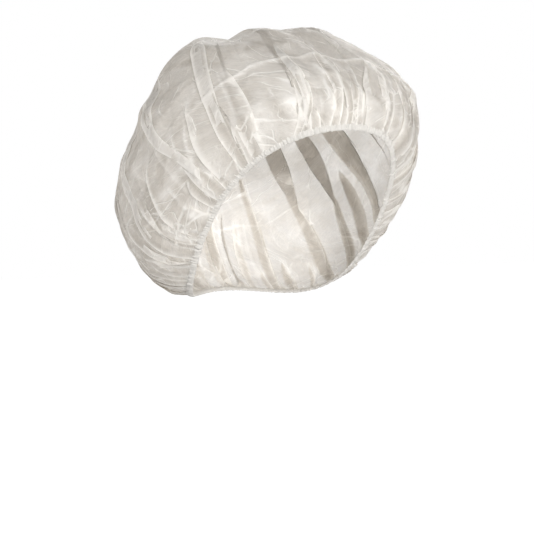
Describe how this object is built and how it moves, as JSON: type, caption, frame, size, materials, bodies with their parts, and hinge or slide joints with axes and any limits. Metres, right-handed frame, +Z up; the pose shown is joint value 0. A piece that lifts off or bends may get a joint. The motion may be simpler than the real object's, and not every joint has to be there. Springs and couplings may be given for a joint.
{
  "type": "disposable bouffant cap",
  "caption": "Thin translucent non-woven bouffant cap: a round sheet gathered by a welded elastic edge, shaped as worn on a head, high at the forehead and low at the nape.",
  "frame": {"origin": "middle of the opening that the head goes through, which is close to the middle of the wearer's head at eye level", "axes": "+Z up as worn, -Y to the front (forehead), +X to the wearer's left. The opening's plane leans 36.5 degrees, high at the forehead and low at the nape."},
  "size_m": [0.2268, 0.2167, 0.2062],
  "materials": {
    "nonwoven_sheet": "thin translucent spunbond non-woven, creased and gathered",
    "hem_sheet": "folded non-woven, puckered, denser and whiter than the crown",
    "weld_line": "fused fibres, slightly glossy dots",
    "elastic_core": "stretchy filament core",
    "elastic_yarn": "wound white yarn"
  },
  "bodies": {
    "front_half": {"crown_front": "nonwoven_sheet", "hem_front": "hem_sheet", "hem_weld_front": "weld_line", "elastic_core_front": "elastic_core", "elastic_cover_front": "elastic_yarn"},
    "rear_half": {"crown_rear": "nonwoven_sheet", "hem_rear": "hem_sheet", "hem_weld_rear": "weld_line", "elastic_core_rear": "elastic_core", "elastic_cover_rear": "elastic_yarn", "elastic_splice": "elastic_yarn"}
  },
  "joints": [
    {"name": "edge_stretch", "type": "slide", "parent": "front_half", "child": "rear_half", "axis": [0, 0.8039, -0.5948], "range_m": [0, 0.05], "stiffness_N_per_m": 11}
  ]
}
